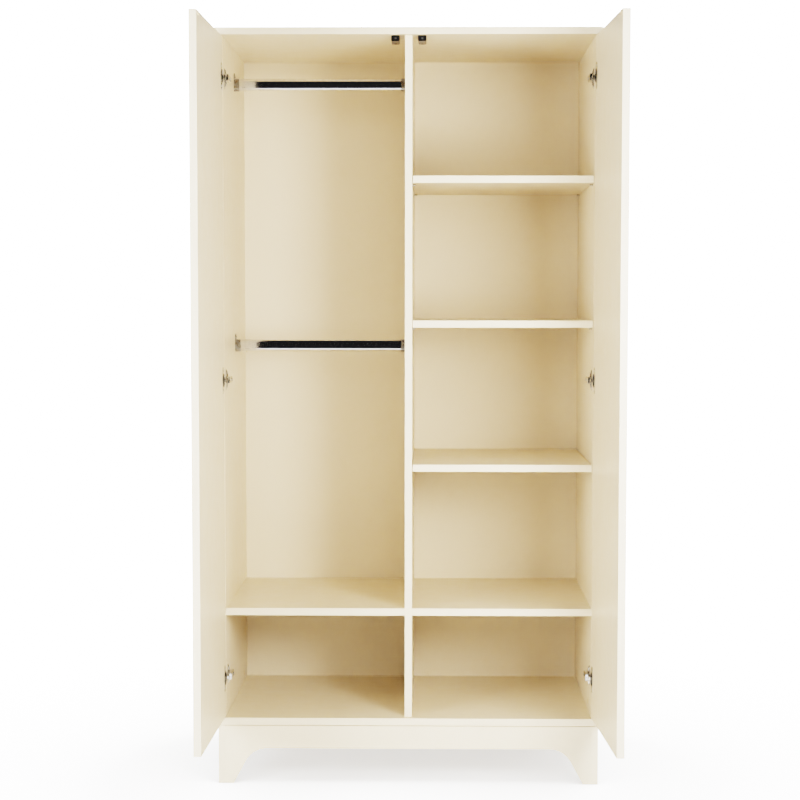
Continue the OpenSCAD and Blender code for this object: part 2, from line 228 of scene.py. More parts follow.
def passing(solid):
    """A short-lived object that takes a solid through a modifier."""
    mesh = bpy.data.meshes.new("passing")
    mesh.from_pydata([tuple(v) for v in solid.verts], [], solid.faces)
    obj = bpy.data.objects.new("passing", mesh)
    COLLECTION.objects.link(obj)
    return obj


def evaluated(solid, modify):
    """The solid after the modifiers that modify() adds. It returns the helper objects it made."""
    obj = passing(solid)
    helpers = modify(obj)
    bpy.context.view_layer.update()
    changed = obj.evaluated_get(bpy.context.evaluated_depsgraph_get())
    result = changed.to_mesh()
    corners = [v.co.copy() for v in result.vertices]
    made = Solid(corners, [tuple(p.vertices) for p in result.polygons])
    changed.to_mesh_clear()
    for o in (obj, *helpers):
        data = o.data
        bpy.data.objects.remove(o)
        bpy.data.meshes.remove(data)
    return made


def combine(base, tool, operation):
    def modify(obj):
        helper = passing(tool)
        boolean = obj.modifiers.new("boolean", "BOOLEAN")
        boolean.object = helper
        boolean.operation = operation
        boolean.solver = "EXACT"
        return [helper]

    return evaluated(base, modify)


def cut(base, *tools):
    for tool in tools:
        base = combine(base, tool, "DIFFERENCE")
    return base


def fuse(base, *others):
    for other in others:
        base = combine(base, other, "UNION")
    return base


def soften(solid, width, angle=40):
    """Rounds the edges that are sharper than angle."""

    def modify(obj):
        bevel = obj.modifiers.new("bevel", "BEVEL")
        bevel.width = width
        bevel.segments = 2
        bevel.limit_method = "ANGLE"
        bevel.angle_limit = math.radians(angle)
        bevel.use_clamp_overlap = True
        return []

    return evaluated(solid, modify)


def piece(name, solid, body, slot, replaces=(), material=None):
    """A finished object in metres that rides on a CAD body.

    It has its slot's own material, unless another one is named.
    """
    mesh = bpy.data.meshes.new(name)
    mesh.from_pydata([tuple(v * MM) for v in solid.verts], [], solid.faces)
    edit = bmesh.new()
    edit.from_mesh(mesh)
    bmesh.ops.remove_doubles(edit, verts=edit.verts, dist=PIECE_WELD)
    bmesh.ops.recalc_face_normals(edit, faces=edit.faces)
    edit.to_mesh(mesh)
    edit.free()
    mesh.shade_smooth()
    mesh.set_sharp_from_angle(angle=math.radians(CREASE_ANGLE))
    mesh.materials.append(MATERIALS[material or slot])
    obj = bpy.data.objects.new(name, mesh)
    COLLECTION.objects.link(obj)
    normals = obj.modifiers.new("even_shading", "WEIGHTED_NORMAL")
    normals.keep_sharp = True
    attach(obj, body)
    if replaces:
        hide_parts(*replaces)


# ---- materials ----

# The colour sockets of a Mix node, by place
MIX_FACTOR, MIX_DARK, MIX_LIGHT, MIX_RESULT = 0, 6, 7, 2


class Shader:
    """A material with a Principled shader, and short calls for the nodes in front of it."""

    def __init__(self, name, **values):
        self.material = bpy.data.materials.new(name)
        self.material.use_nodes = True
        self.tree = self.material.node_tree
        self.principled = self.found("BSDF_PRINCIPLED")
        for key, value in values.items():
            self.principled.inputs[key.replace("_", " ")].default_value = value
        self.coords = self.tree.nodes.new("ShaderNodeTexCoord").outputs["Object"]

    def found(self, kind):
        return next(n for n in self.tree.nodes if n.type == kind)

    def link(self, source, target):
        self.tree.links.new(source, target)

    def stretched(self, x, y, z):
        node = self.tree.nodes.new("ShaderNodeMapping")
        node.inputs["Scale"].default_value = (x, y, z)
        self.link(self.coords, node.inputs["Vector"])
        return node.outputs["Vector"]

    def noise(self, scale, detail=2.0, rough=0.5, vector=None, distort=0.0):
        """Noise with this many cells to the metre."""
        node = self.tree.nodes.new("ShaderNodeTexNoise")
        node.inputs["Scale"].default_value = scale
        node.inputs["Detail"].default_value = detail
        node.inputs["Roughness"].default_value = rough
        node.inputs["Distortion"].default_value = distort
        self.link(vector or self.coords, node.inputs["Vector"])
        return node.outputs["Fac"]

    def ranged(self, value, low, high, to_low=0.0, to_high=1.0):
        node = self.tree.nodes.new("ShaderNodeMapRange")
        self.link(value, node.inputs["Value"])
        sockets = ("From Min", "From Max", "To Min", "To Max")
        for key, number in zip(sockets, (low, high, to_low, to_high)):
            node.inputs[key].default_value = number
        return node.outputs["Result"]

    def math(self, operation, a, b):
        return math_node(self.tree, operation, a, b)

    def mixed(self, a, share_a, b, share_b):
        parts = self.math("MULTIPLY", a, share_a), self.math("MULTIPLY", b, share_b)
        return self.math("ADD", *parts)

    def bump(self, height, strength, distance, normal=None):
        node = self.tree.nodes.new("ShaderNodeBump")
        node.inputs["Strength"].default_value = strength
        node.inputs["Distance"].default_value = distance
        self.link(height, node.inputs["Height"])
        if normal:
            self.link(normal, node.inputs["Normal"])
        return node.outputs["Normal"]

    def colour(self, source, low, high, dark, light):
        """Base colour from dark to light while the source goes from low to high."""
        node = self.tree.nodes.new("ShaderNodeMix")
        node.data_type = "RGBA"
        self.link(self.ranged(source, low, high), node.inputs[MIX_FACTOR])
        node.inputs[MIX_DARK].default_value = (*dark, 1.0)
        node.inputs[MIX_LIGHT].default_value = (*light, 1.0)
        self.link(node.outputs[MIX_RESULT], self.principled.inputs["Base Color"])

    def roughness(self, source, low, high, smooth, rough):
        value = self.ranged(source, low, high, smooth, rough)
        self.link(value, self.principled.inputs["Roughness"])

    def normal(self, source):
        self.link(source, self.principled.inputs["Normal"])


def math_node(tree, operation, a, b):
    """A Math node on two values, each a number or a socket."""
    node = tree.nodes.new("ShaderNodeMath")
    node.operation = operation
    for socket, value in zip(node.inputs, (a, b)):
        if isinstance(value, (int, float)):
            socket.default_value = value
        else:
            tree.links.new(value, socket)
    return node.outputs[0]


def lacquer(name, dark, light, rough, peel):
    """Sprayed satin lacquer: slow drifts of tone, faint clouding and orange peel."""
    s = Shader(name, Coat_Weight=0.12, Coat_Roughness=0.22, Specular_IOR_Level=0.42)
    drift = s.noise(scale=1.7, detail=3.0, rough=0.55)
    clouding = s.noise(scale=38.0, detail=4.0, rough=0.6)
    s.colour(s.mixed(drift, 0.6, clouding, 0.4), 0.32, 0.68, dark, light)
    s.roughness(s.noise(scale=24.0, detail=5.0, rough=0.6), 0.3, 0.7, rough - 0.05, rough + 0.06)
    fine = s.bump(s.noise(scale=1500.0), strength=0.10, distance=0.00008)
    orange_peel = s.noise(scale=320.0, rough=0.4)
    s.normal(s.bump(orange_peel, strength=peel, distance=0.00025, normal=fine))
    return s.material


def painted_board(name, dark, light):
    """Thin pressed board under a dull foil: short fibres that run up the panel."""
    s = Shader(name, Specular_IOR_Level=0.3)
    drift = s.noise(scale=1.3, detail=3.0)
    fibre = s.noise(scale=150.0, detail=6.0, rough=0.65, vector=s.stretched(3.0, 3.0, 0.25))
    s.colour(s.mixed(drift, 0.7, fibre, 0.3), 0.32, 0.68, dark, light)
    s.roughness(fibre, 0.3, 0.7, 0.52, 0.66)
    s.normal(s.bump(fibre, strength=0.12, distance=0.00012))
    return s.material


def plated(name, dark, light, rough, spread, drawn, grain, depth):
    """Plated or cast metal. drawn stretches its fine marks along the three axes."""
    s = Shader(name, Metallic=1.0)
    marks = s.noise(scale=grain, detail=5.0, rough=0.65, vector=s.stretched(*drawn))
    bloom = s.noise(scale=110.0, detail=3.0)
    s.colour(bloom, 0.35, 0.65, dark, light)
    both = s.math("MULTIPLY", s.math("ADD", marks, bloom), 0.5)
    s.roughness(both, 0.35, 0.65, rough, rough + spread)
    s.normal(s.bump(marks, strength=depth, distance=0.00005))
    return s.material


def moulded(name, dark, light, rough, grain, depth):
    """Moulded plastic or powder coat with a fine speckled texture."""
    s = Shader(name, Specular_IOR_Level=0.45)
    speck = s.noise(scale=grain, detail=4.0, rough=0.6)
    s.colour(s.noise(scale=90.0, detail=3.0), 0.35, 0.65, dark, light)
    s.roughness(speck, 0.3, 0.7, rough - 0.06, rough + 0.08)
    s.normal(s.bump(speck, strength=depth, distance=0.00006))
    return s.material


def timber(name, dark, light):
    """Fluted beech: growth rings pulled out along the dowel, and short flecks."""
    s = Shader(name, Specular_IOR_Level=0.35)
    along = s.stretched(1.0, 1.0, 0.12)
    rings = s.noise(scale=260.0, detail=4.0, rough=0.6, vector=along, distort=0.4)
    fleck = s.noise(scale=1400.0, vector=s.stretched(1.0, 1.0, 0.2))
    s.colour(s.mixed(rings, 0.7, fleck, 0.3), 0.35, 0.65, dark, light)
    s.roughness(rings, 0.3, 0.7, 0.5, 0.66)
    s.normal(s.bump(rings, strength=0.25, distance=0.0002))
    return s.material


CREAM = (0.815, 0.694, 0.508), (0.845, 0.728, 0.544)
NO_DRAW = (1.0, 1.0, 1.0)

# For each name: dark, light, roughness, scale of the texture, its depth
MOULDED = {
    "ivory_plastic": ((0.79, 0.665, 0.475), (0.82, 0.70, 0.51), 0.42, 900.0, 0.12),
    "strike_ivory": (*CREAM, 0.45, 700.0, 0.10),
    "latch_black": ((0.014, 0.014, 0.014), (0.022, 0.021, 0.020), 0.20, 1600.0, 0.08),
    "bumper_grey": ((0.045, 0.045, 0.043), (0.07, 0.07, 0.067), 0.55, 1200.0, 0.10),
}

# For each name: dark, light, least roughness, its spread, how the marks are drawn, scale, depth
PLATED = {
    "rail_chrome": (
        (0.80, 0.80, 0.81), (0.90, 0.90, 0.905), 0.03, 0.05, (0.05, 1.0, 1.0), 900.0, 0.03
    ),
    "socket_zinc": ((0.40, 0.385, 0.35), (0.52, 0.50, 0.46), 0.20, 0.16, NO_DRAW, 700.0, 0.14),
    "hinge_nickel": (
        (0.66, 0.65, 0.62), (0.78, 0.77, 0.74), 0.10, 0.10, (1.0, 0.08, 1.0), 900.0, 0.08
    ),
    "screw_steel": ((0.60, 0.59, 0.56), (0.76, 0.75, 0.72), 0.20, 0.16, NO_DRAW, 1200.0, 0.12),
    "pin_nickel": (
        (0.66, 0.65, 0.62), (0.80, 0.79, 0.76), 0.12, 0.10, (1.0, 1.0, 0.1), 1400.0, 0.06
    ),
    "fitting_zinc": ((0.52, 0.52, 0.51), (0.66, 0.66, 0.65), 0.28, 0.18, NO_DRAW, 800.0, 0.16),
}

MATERIALS = {
    "ivory_lacquer": lacquer("ivory_lacquer", *CREAM, rough=0.40, peel=0.10),
    "ivory_door": lacquer("ivory_door", *CREAM, rough=0.38, peel=0.10),
    "ivory_back_board": painted_board("ivory_back_board", *CREAM),
    "beech": timber("beech", (0.52, 0.34, 0.19), (0.70, 0.50, 0.31)),
}
for make, table in ((moulded, MOULDED), (plated, PLATED)):
    for name, values in table.items():
        MATERIALS[name] = make(name, *values)


# ---- boards: the CAD nodes with rounded arrises ----

BOARD_SLOTS = ("ivory_lacquer", "ivory_door", "ivory_back_board")
ARRIS, THIN_ARRIS, PLINTH_ARRIS = 0.9 * MM, 0.4 * MM, 0.6 * MM


def arris_of(name, slot):
    if slot == "ivory_back_board":
        return THIN_ARRIS
    return PLINTH_ARRIS if name.startswith("plinth_") else ARRIS


for name, obj in NODES.items():
    slot = NODE_SLOTS[name]
    obj.data.materials.clear()
    obj.data.materials.append(MATERIALS[slot])
    if slot in BOARD_SLOTS:
        weld = obj.modifiers.new("weld", "WELD")
        weld.merge_threshold = NODE_WELD
        bevel = obj.modifiers.new("arris", "BEVEL")
        bevel.width = arris_of(name, slot)
        bevel.segments = 3
        bevel.limit_method = "ANGLE"
        bevel.angle_limit = math.radians(BOARD_EDGE_ANGLE)
        bevel.harden_normals = True


# ---- screws, rails and their sockets, shelf pins, cover caps ----

# Reach and half width of the arms of a cross recess, as shares of the head's radius
CROSS_REACH, CROSS_WIDTH, CROSS_TURN = 0.62, 0.13, 20
THREAD_PITCH = 1.4


def thread(r, low, high):
    """Profile of a threaded shank that ends in a point at low."""
    points = [(0.15, low), (r * 0.6, low + 1.6)]
    z = low + 2.0
    while z + THREAD_PITCH < high - 0.6:
        points += [
            (r * 0.74, z),
            (r, z + THREAD_PITCH * 0.4),
            (r * 0.74, z + THREAD_PITCH * 0.8),
        ]
        z += THREAD_PITCH
    return points + [(r * 0.8, high)]


def screw(head_r, head_h, shank_r, shank):
    """A pan-head screw with a cross recess. Its seat is at z 0 and the head is above."""
    dome = ((0.93, 0), (1, 0.28), (0.97, 0.55), (0.8, 0.85), (0.5, 1))
    head = [(head_r * r, head_h * z) for r, z in dome] + [(0.05, head_h)]
    body = lathe(thread(shank_r, -shank, 0) + head, 24)
    reach, narrow = head_r * CROSS_REACH, head_r * CROSS_WIDTH
    foot = rectangle(reach * 0.35, narrow * 0.6, head_h * 0.1)
    arm = loft([foot, rectangle(reach, narrow, head_h * 1.2)])
    return cut(body, *(arm.turned(turn + CROSS_TURN, "Z") for turn in (0, 90)))


def islands(name):
    """Boxes of the separate solids of a CAD node, in millimetres."""
    edit = bmesh.new()
    edit.from_mesh(NODES[name].data)
    bmesh.ops.remove_doubles(edit, verts=edit.verts, dist=NODE_WELD)
    left, boxes = set(edit.verts), []
    while left:
        stack, found = [left.pop()], []
        while stack:
            v = stack.pop()
            found.append(v.co / MM)
            for e in v.link_edges:
                other = e.other_vert(v)
                if other in left:
                    left.remove(other)
                    stack.append(other)
        low = Vector(min(p[i] for p in found) for i in range(3))
        high = Vector(max(p[i] for p in found) for i in range(3))
        boxes.append((low, high))
    edit.free()
    return sorted(boxes, key=lambda b: tuple(round(c, 1) for c in (b[0].z, b[0].x, b[0].y)))


def box_mm(name):
    low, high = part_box(name)
    return low / MM, high / MM


# Hanging rails: an oval tube with its ends turned clean
RAIL_WALL, RAIL_EASE = 1.2, 0.3


def oval_ring(half_height, r, x, steps=24):
    straight = half_height - r
    ring = [(x, -py, pz + straight) for py, pz in arc((0, 0), r, 0, 180, steps)]
    ring += [(x, -py, pz - straight) for py, pz in arc((0, 0), r, 180, 360, steps)]
    return ring


for level in RAILS:
    low, high = box_mm(f"{level}_hanging_rail")
    centre = (low + high) / 2
    half, r = (high.z - low.z) / 2, (high.y - low.y) / 2
    length = high.x - low.x
    sections = [
        (RAIL_WALL, 0),
        (RAIL_EASE, 0),
        (0, RAIL_EASE),
        (0, length - RAIL_EASE),
        (RAIL_EASE, length),
        (RAIL_WALL, length),
        (RAIL_WALL, 0),
    ]
    skin = loft([oval_ring(half - inset, r - inset, x) for inset, x in sections], caps=False)
    tube = skin.moved(low.x, centre.y, centre.z)
    piece(f"{level}_rail_tube", tube, "carcass", "rail_chrome", [f"{level}_hanging_rail"])

# Rail sockets: a cast cup that is open above, on a plate with an ear for its upper screw
SOCKET_PLATE, SOCKET_EAR, SOCKET_SCREW, SOCKET_PLAY = 2.5, 30.0, 21.0, 0.1
RAIL_SCREW_HEAD = 1.4
rail_screw = screw(head_r=3.6, head_h=RAIL_SCREW_HEAD, shank_r=1.75, shank=12)
sink_profile = [
    (1.8, -1),
    (1.8, SOCKET_PLATE - 0.7),
    (4.3, SOCKET_PLATE + 0.3),
    (4.3, SOCKET_PLATE + 2),
]
socket_sink = lathe(sink_profile, 24).moved(0, SOCKET_SCREW, 0)

for level in RAILS:
    rail_low, rail_high = box_mm(f"{level}_hanging_rail")
    rail_x, _, rail_z = (rail_low + rail_high) / 2
    half, rail_r = (rail_high.z - rail_low.z) / 2, (rail_high.y - rail_low.y) / 2
    for side in SIDES:
        name = f"{level}_rail_{side}_socket"
        low, high = box_mm(name)
        outer = (high.y - low.y) / 2
        reach = high.x - low.x
        hollow = rail_r + SOCKET_PLAY
        plate = prism(stadium(outer, rail_r - half - outer, SOCKET_EAR), 0, SOCKET_PLATE)
        lip = [
            (outer - 0.3, half - 0.8),
            (outer - 0.9, half),
            (0.9 - outer, half),
            (0.3 - outer, half - 0.8),
        ]
        cup = prism(arc((0, rail_r - half), outer - 0.3, 180, 360, 20) + lip, 0.5, reach)
        mouth = [(hollow, half + 20), (-hollow, half + 20)]
        seat = arc((0, rail_r - half), hollow, 180, 360, 20)
        room = prism(seat + mouth, SOCKET_PLATE, reach + 1)
        body = cut(soften(cut(fuse(plate, cup), room), 0.45), socket_sink)
        inward = 1 if side == "left" else -1
        wall = low.x if inward > 0 else high.x
        stand = place((wall, (low.y + high.y) / 2, rail_z)) @ mirrored(x=inward) @ ALONG_X
        piece(name + "_cast", body.at(stand), "carcass", "socket_zinc", [name])

heads = Solid()
for low, high in islands("rail_screws"):
    centre = (low + high) / 2
    inward = 1 if centre.x < rail_x else -1
    seat = (high.x if inward > 0 else low.x) - inward * RAIL_SCREW_HEAD
    heads += rail_screw.at(place((seat, centre.y, centre.z)) @ facing(inward))
piece("rail_socket_screws", heads, "carcass", "screw_steel", ["rail_screws"])

# Shelf pins: a rounded peg with a collar that fills the gap beside the shelf
PIN_PROFILE = [
    (1.6, -8),
    (2.3, -7.2),
    (2.5, -6.4),
    (2.5, -1.5),
    (2.35, -1.2),
    (2.5, -0.9),
    (2.5, 0),
    (3.7, 0),
    (3.9, 0.2),
    (3.9, 0.6),
    (3.6, 0.9),
    (2.5, 0.9),
    (2.5, 7.1),
    (2.2, 7.7),
    (1.5, 8),
    (0.05, 8),
]
pin = lathe(PIN_PROFILE, 24)
pins = Solid()
bay_middle = (box_mm("upper_divider")[1].x + box_mm("right_side_panel")[0].x) / 2
for low, high in islands("shelf_pins"):
    centre = (low + high) / 2
    pins += pin.at(place(centre) @ facing(1 if centre.x < bay_middle else -1))
piece("shelf_support_pins", pins, "carcass", NODE_SLOTS["shelf_pins"], ["shelf_pins"])

# Cover caps over the cam fittings: a low dome with a lifting notch
CAP_PROFILE = [(7.4, -1.0), (7.4, 0), (8.5, 0), (8.5, 0.25), (8.1, 0.55), (6.5, 0.75), (0.05, 0.8)]
# A cap nearer to the middle than this is on a divider, and one further out is on a side panel
DIVIDER_REACH = 100
cap = cut(lathe(CAP_PROFILE, 40), block((7.2, -1.1, -0.2), (9.5, 1.1, 0.9)))
caps = Solid()
for low, high in islands("cam_caps"):
    centre, size = (low + high) / 2, high - low
    if size.z < min(size.x, size.y):
        turn = TO_MINUS_Z
        seat = Vector((centre.x, centre.y, high.z))
    else:
        inward = 1 if centre.x < -DIVIDER_REACH or 0 < centre.x < DIVIDER_REACH else -1
        turn = facing(inward)
        seat = Vector((low.x if inward > 0 else high.x, centre.y, centre.z))
    caps += cap.at(place(seat) @ turn @ rotation(-90, "Z"))
piece("cam_cover_caps", caps, "carcass", "ivory_plastic", ["cam_caps"])


# ---- push latches ----

NOSE = 1.0  # of the plunger, ahead of its origin
PLUNGER_PROFILE = [
    (0.05, -NOSE),
    (2.6, -NOSE),
    (3.5, -0.85),
    (4.0, -0.2),
    (4.0, 34.2),
    (3.4, 35.6),
    (2.4, 36),
    (0.05, 36),
]
TIP_PROFILE = [(0.05, -0.98), (2.6, -0.98), (2.9, -0.75), (2.9, -0.45), (0.05, -0.45)]
LATCH_BORE, BORE_PLAY = 44, 0.05
GRIP_FIRST, GRIP_PITCH, GRIP_LENGTH, GRIP_COUNT = 6, 9, 5, 3
LATCH_SCREWS_Y = (53, 63)
LATCH_SCREW_HEAD = 1.5
plunger = cut(lathe(PLUNGER_PROFILE).at(TO_Y), cylinder(3.0, -2, -0.5, 24).at(TO_Y))
tip = lathe(TIP_PROFILE, 28).at(TO_Y)
latch_screw = screw(head_r=3.0, head_h=LATCH_SCREW_HEAD, shank_r=1.5, shank=15)

for side in SIDES:
    name, rod = f"{side}_latch_housing", f"{side}_latch_plunger"
    low, high = box_mm(name)
    rod_low, rod_high = box_mm(rod)
    x, z = (rod_low.x + rod_high.x) / 2, (rod_low.z + rod_high.z) / 2
    r = (rod_high.x - rod_low.x) / 2
    half, top, bottom = (high.x - low.x) / 2, high.z - z, low.z - z
    outline = rounded((-half, bottom), (half, top), (3.2, 3.2, 0.6, 0.6))
    body = prism(outline, 0, high.y - low.y).at(mirrored(y=-1) @ ALONG_Y)
    body = soften(body, 0.5, angle=50)
    bore = r + BORE_PLAY
    mouth = lathe([(r + 1.3, -1), (r + 1.3, 0.2), (bore, 1.2)])
    body = cut(body, cylinder(bore, -1, LATCH_BORE).at(TO_Y), mouth.at(TO_Y))
    for k in range(GRIP_COUNT):
        start = GRIP_FIRST + k * GRIP_PITCH
        for x_low, x_high in ((-half - 1, 0.7 - half), (half - 0.7, half + 1)):
            corner = (x_high, start + GRIP_LENGTH, top - 2.5)
            body = cut(body, block((x_low, start, bottom + 3.5), corner))
    for y in LATCH_SCREWS_Y:
        sink = [(3.25, bottom - 1), (3.25, bottom + 2), (1.6, bottom + 2), (1.6, top + 1)]
        body = cut(body, lathe(sink, 24).moved(0, y, 0))
    piece(f"{side}_latch_case", body.moved(x, low.y, z), "carcass", "latch_black", [name])

    at_rest = (x, rod_low.y + NOSE, z)
    piece(f"{side}_latch_rod", plunger.moved(*at_rest), rod, "latch_black", [rod])
    piece(f"{side}_latch_tip", tip.moved(*at_rest), rod, "latch_black", material="bumper_grey")

heads = Solid()
for low, high in islands("latch_screws"):
    centre = (low + high) / 2
    seat = (centre.x, centre.y, low.z + LATCH_SCREW_HEAD)
    heads += latch_screw.at(place(seat) @ TO_MINUS_Z)
piece("latch_fixing_screws", heads, "carcass", "screw_steel", ["latch_screws"])


# ---- concealed hinges, in the frame of the hinge axis ----

CUP_X, DOOR_FACE_Y = 13.1, 9.0
CUP_R, CUP_DEPTH = 17.5, 13.0
EAR_X, EAR_Z, EAR_R = 4.0, 24.0, 9.0
FLANGE_R, FLANGE_T = 18.2, 1.5
WALL_X = 9.6
ARM_LOW, ARM_HIGH = 13.6, 23.6
ARM_FRONT, ARM_BACK = 12.0, 70.0
ARM_HALF, ARM_WALL = 8.0, 1.6
PLATE_Y, ARM_SCREW_Y, ADJUST_SCREW_Y = 49.0, 58.0, ARM_FRONT + 13
PLATE_SCREW_Z = 16.0
WING_HALF, WING_WAIST, WING_END = 26, 20, 6.0
TONGUE_R, PIN_BORE = 2.2, 1.3


def cup_shape():
    """Drawn cup with a raised rim and an eared flange. Z is out of the door."""
    ear_line = shifted(stadium(EAR_R, -EAR_Z - EAR_R, EAR_Z + EAR_R), x=EAR_X)
    body = fuse(cylinder(FLANGE_R, 0, FLANGE_T, 64), prism(ear_line, 0, FLANGE_T))
    bowl = [
        (CUP_R - 2.5, -CUP_DEPTH),
        (CUP_R - 0.7, -CUP_DEPTH + 0.7),
        (CUP_R, -CUP_DEPTH + 2.5),
        (CUP_R, 0.5),
        (CUP_R + 0.2, FLANGE_T + 0.25),
        (CUP_R - 0.1, FLANGE_T + 0.45),
        (CUP_R - 0.6, FLANGE_T + 0.45),
    ]
    inside = [
        (CUP_R - 4.5, -CUP_DEPTH + 0.8),
        (CUP_R - 2.0, -CUP_DEPTH + 1.6),
        (CUP_R - 1.0, -CUP_DEPTH + 4.0),
        (CUP_R - 1.0, FLANGE_T - 0.2),
        (CUP_R - 0.5, FLANGE_T + 1),
    ]
    sink = lathe([(1.9, -1), (1.9, 0.5), (4.6, FLANGE_T + 0.2), (4.6, FLANGE_T + 1)], 28)
    body = cut(fuse(soften(body, 0.4), lathe(bowl, 64)), lathe(inside, 64))
    return cut(body, *(sink.moved(EAR_X, z, 0) for z in (-EAR_Z, EAR_Z)))


def damper_shape():
    """Soft-close cylinder beside the arm in the cup. Z is out of the door."""
    outline = rounded((6.6, -8.0), (14.0, 8.0), (1.0, 2.6, 2.6, 1.0), 5)
    case = soften(prism(outline, -CUP_DEPTH + 0.8, -5.2), 0.6)
    return fuse(case, cylinder(2.2, -6.5, 6.5, 24).turned(90, "X").moved(10.2, 0, -5.4))


def tongue_shape():
    """Cranked tongue: along the cup's mouth, round a bend, and into the arm."""
    bend, x = 3.0, ARM_LOW + 3.0
    path = [(0.0, 0.0), (5.0, 0.0), (x - bend, 0.0)]
    path += arc((x - bend, bend), bend, -90, 0, 6)[1:]
    path += [(x, 8.0), (x, ARM_FRONT + 1.0)]
    halves = [3.5] * (len(path) - 2) + [4.2, 5.4]
    last = len(path) - 1
    rings = []
    for i, ((x, y), half) in enumerate(zip(path, halves)):
        ahead, behind = path[min(i + 1, last)], path[max(i - 1, 0)]
        d = Vector((ahead[0] - behind[0], ahead[1] - behind[1])).normalized()
        outer, inner = (x - d.y, y + d.x), (x + d.y, y - d.x)
        rings.append([(*outer, -half), (*inner, -half), (*inner, half), (*outer, half)])
    return fuse(loft(rings), cylinder(TONGUE_R, -4.0, 4.0, 28))


def channel_shape():
    """The arm's cover, closed at the front with a slope. X across, Y off the wall, Z along."""
    section = rounded((-ARM_HALF, ARM_LOW), (ARM_HALF, ARM_HIGH), (0.2, 0.2, 2.6, 2.6))
    low, high = (ARM_WALL - ARM_HALF, ARM_LOW - 1), (ARM_HALF - ARM_WALL, ARM_HIGH - ARM_WALL)
    room = prism(rounded(low, high, (0, 0, 1.4, 1.4), 4), ARM_FRONT + 2.5, ARM_BACK + 1)
    slope = block((-20, 0, -6), (20, 10, 6)).turned(-50, "X")
    slope = slope.moved(0, ARM_HIGH - 2.4, ARM_FRONT - 0.2)
    waist = [
        block((x - 2, ARM_LOW - 1, ARM_FRONT + 8), (x + 2, ARM_LOW + 4.0, ARM_FRONT + 16))
        for x in (-9.0, 9.0)
    ]
    screw_slot = prism(shifted(stadium(2.7, -7, 4.5), y=ARM_SCREW_Y), 0, 40)
    adjust_slot = prism(shifted(stadium(3.3, -4.5, 4.5), y=ADJUST_SCREW_Y), 0, 40)
    slots = [slot.at(axes(X, Z, Y)) for slot in (screw_slot, adjust_slot)]
    return soften(cut(prism(section, ARM_FRONT, ARM_BACK), room, slope, *waist, *slots), 0.35)


def arm_shape():
    body = fuse(soften(tongue_shape(), 0.3), channel_shape().at(axes(Z, X, Y)))
    return cut(body, cylinder(PIN_BORE, -6, 6, 24))


def plate_shape():
    """Mounting plate: a base, two arched wings and a ridge for the arm. Z is off the wall."""
    wings = []
    for z in range(-WING_HALF, WING_HALF + 1, 2):
        past = max(0.0, abs(z) - WING_WAIST) / WING_END
        across = max(1.2, WING_END * math.sqrt(max(0.0, 1 - past**2)))
        rise = 1.6 + 4.4 * (1 - (abs(z) / WING_HALF) ** 1.6)
        wings.append([(-across, z, 0), (-across, z, rise), (across, z, rise), (across, z, 0)])
    base = prism(rounded((-19, -ARM_HALF), (17, ARM_HALF), (2.5,) * 4, 5), 0, 4.0)
    ridge = prism(rounded((-13, -6.2), (15, 6.2), (1.2,) * 4, 4), 3.0, 10.0)
    body = fuse(soften(base, 0.6), soften(loft(wings), 0.5), soften(ridge, 0.5))
    for z in (-PLATE_SCREW_Z, PLATE_SCREW_Z):
        hole = prism(shifted(stadium(1.9, -3.2, 3.2), y=z), -1, 6)
        sink = prism(shifted(stadium(3.9, -5.0, 5.0), y=z), 2.4, 8)
        body = cut(body, hole, sink)
    body = cut(body, cylinder(2.55, 3, 12, 24).moved(ARM_SCREW_Y - PLATE_Y, 0, 0))
    for x in (-9.0, -5.0, -1.0):
        body = cut(body, block((x - 0.8, -4.0, 9.0), (x + 0.8, 4.0, 11.0)))
    return body.at(axes(Y, Z, X, at=(WALL_X, PLATE_Y, 0)))


def strike_shape():
    """Small coated plate with two dimples, where a plunger meets the door. Z is out of the door."""
    plate = soften(prism(rounded((-10, -4.5), (10, 4.5), (2.2,) * 4), 0, 1.5), 0.35)
    dimple = lathe([(0.7, 0.7), (1.9, 1.6), (1.9, 3)], 20)
    return cut(plate, dimple.moved(-6.5, 0, 0), dimple.moved(6.5, 0, 0))


AT_CUP = place((CUP_X, DOOR_FACE_Y, 0)) @ TO_Y
cup_solid = cup_shape().at(AT_CUP)
damper_solid = damper_shape().at(AT_CUP)
arm_solid = arm_shape()
plate_solid = plate_shape()
strike_solid = strike_shape()
PIVOT_PROFILE = [(0.05, -10), (0.9, -10), (1.25, -9.6), (1.25, 9.6), (0.9, 10), (0.05, 10)]
pivot_solid = lathe(PIVOT_PROFILE, 24)
cup_screw = screw(head_r=3.3, head_h=1.2, shank_r=1.75, shank=11)
wood_screw = screw(head_r=3.3, head_h=1.3, shank_r=1.75, shank=13)
arm_screw = screw(head_r=4.0, head_h=1.5, shank_r=2.5, shank=10)
adjust_screw = screw(head_r=2.9, head_h=1.2, shank_r=2.0, shank=7)
CUP_SCREW_SINK, WOOD_SCREW_SEAT = 0.9, 2.4

